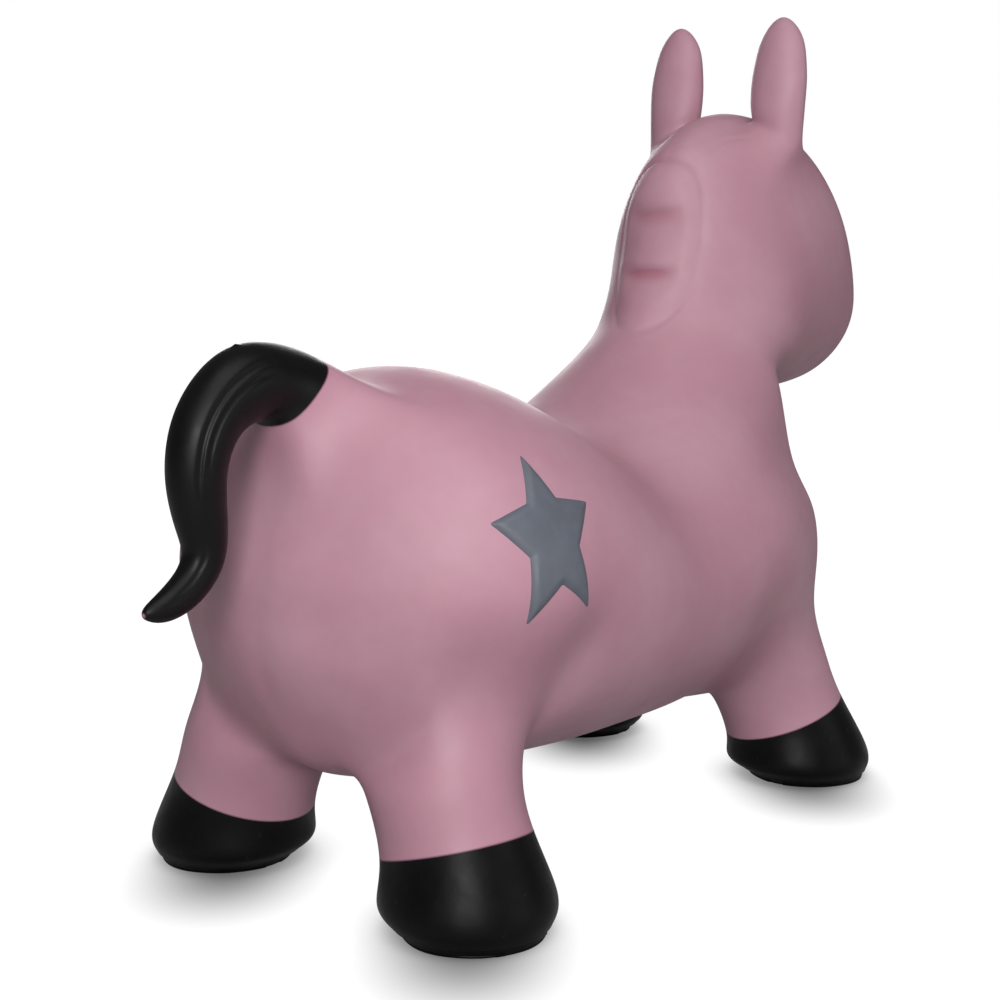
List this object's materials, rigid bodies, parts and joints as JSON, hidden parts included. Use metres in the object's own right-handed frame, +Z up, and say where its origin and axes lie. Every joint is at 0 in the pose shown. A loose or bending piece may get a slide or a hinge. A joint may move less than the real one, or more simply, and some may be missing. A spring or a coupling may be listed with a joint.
{
  "type": "bouncy ride on animal",
  "caption": "Inflatable vinyl hopper horse to sit astride and bounce on, with ears to hold, soft squashing legs, a curled tail and a pull-out air plug under the belly.",
  "frame": {"origin": "on the floor under the middle of the animal's length, between the hooves", "axes": "+X towards the animal's head, +Y to its left, +Z up"},
  "size_m": [0.5962, 0.2508, 0.4634],
  "materials": {
    "skin": "soft dusty pink vinyl with a matte bloom",
    "black_paint": "black satin paint on the vinyl",
    "star_paint": "blue grey matte paint on a slightly raised star",
    "eye_paint": "black gloss paint",
    "plug": "pale natural polyethylene"
  },
  "bodies": {
    "skin": {"body_skin": "skin", "leg_front_left": "skin", "leg_front_right": "skin", "leg_rear_left": "skin", "leg_rear_right": "skin", "ear_base_left": "skin", "ear_base_right": "skin", "tail_root": "black_paint", "star_left": "star_paint", "star_right": "star_paint", "eye_left": "eye_paint", "eye_right": "eye_paint", "valve_sleeve": "skin"},
    "hoof_front_left": {"hoof_front_left": "black_paint"},
    "hoof_front_right": {"hoof_front_right": "black_paint"},
    "hoof_rear_left": {"hoof_rear_left": "black_paint"},
    "hoof_rear_right": {"hoof_rear_right": "black_paint"},
    "ear_left": {"ear_left": "skin"},
    "ear_right": {"ear_right": "skin"},
    "tail": {"tail": "black_paint"},
    "air_plug": {"air_plug": "plug"}
  },
  "joints": [
    {"name": "squash_front_left", "type": "slide", "parent": "skin", "child": "hoof_front_left", "axis": [0, 0, 1], "range_m": [0, 0.012], "stiffness_N_per_m": 2500, "springref_m": -0.003, "deforming": ["leg_front_left"]},
    {"name": "squash_front_right", "type": "slide", "parent": "skin", "child": "hoof_front_right", "axis": [0, 0, 1], "range_m": [0, 0.012], "stiffness_N_per_m": 2500, "springref_m": -0.003, "deforming": ["leg_front_right"]},
    {"name": "squash_rear_left", "type": "slide", "parent": "skin", "child": "hoof_rear_left", "axis": [0, 0, 1], "range_m": [0, 0.012], "stiffness_N_per_m": 2500, "springref_m": -0.003, "deforming": ["leg_rear_left"]},
    {"name": "squash_rear_right", "type": "slide", "parent": "skin", "child": "hoof_rear_right", "axis": [0, 0, 1], "range_m": [0, 0.012], "stiffness_N_per_m": 2500, "springref_m": -0.003, "deforming": ["leg_rear_right"]},
    {"name": "ear_bend_left", "type": "hinge", "parent": "skin", "child": "ear_left", "pos_m": [0.1779, 0.0374, 0.3948], "axis": [0, 1, 0], "range_deg": [-20, 20], "stiffness_Nm_per_rad": 0.15, "deforming": ["ear_base_left"]},
    {"name": "ear_bend_right", "type": "hinge", "parent": "skin", "child": "ear_right", "pos_m": [0.1779, -0.0374, 0.3948], "axis": [0, 1, 0], "range_deg": [-20, 20], "stiffness_Nm_per_rad": 0.15, "deforming": ["ear_base_right"]},
    {"name": "tail_sway", "type": "hinge", "parent": "skin", "child": "tail", "pos_m": [-0.2195, 0, 0.2539], "axis": [0, 0, 1], "range_deg": [-20, 20], "stiffness_Nm_per_rad": 0.3, "deforming": ["tail_root"]},
    {"name": "plug_pull", "type": "slide", "parent": "skin", "child": "air_plug", "axis": [0, 0, -1], "range_m": [0, 0.026]}
  ]
}
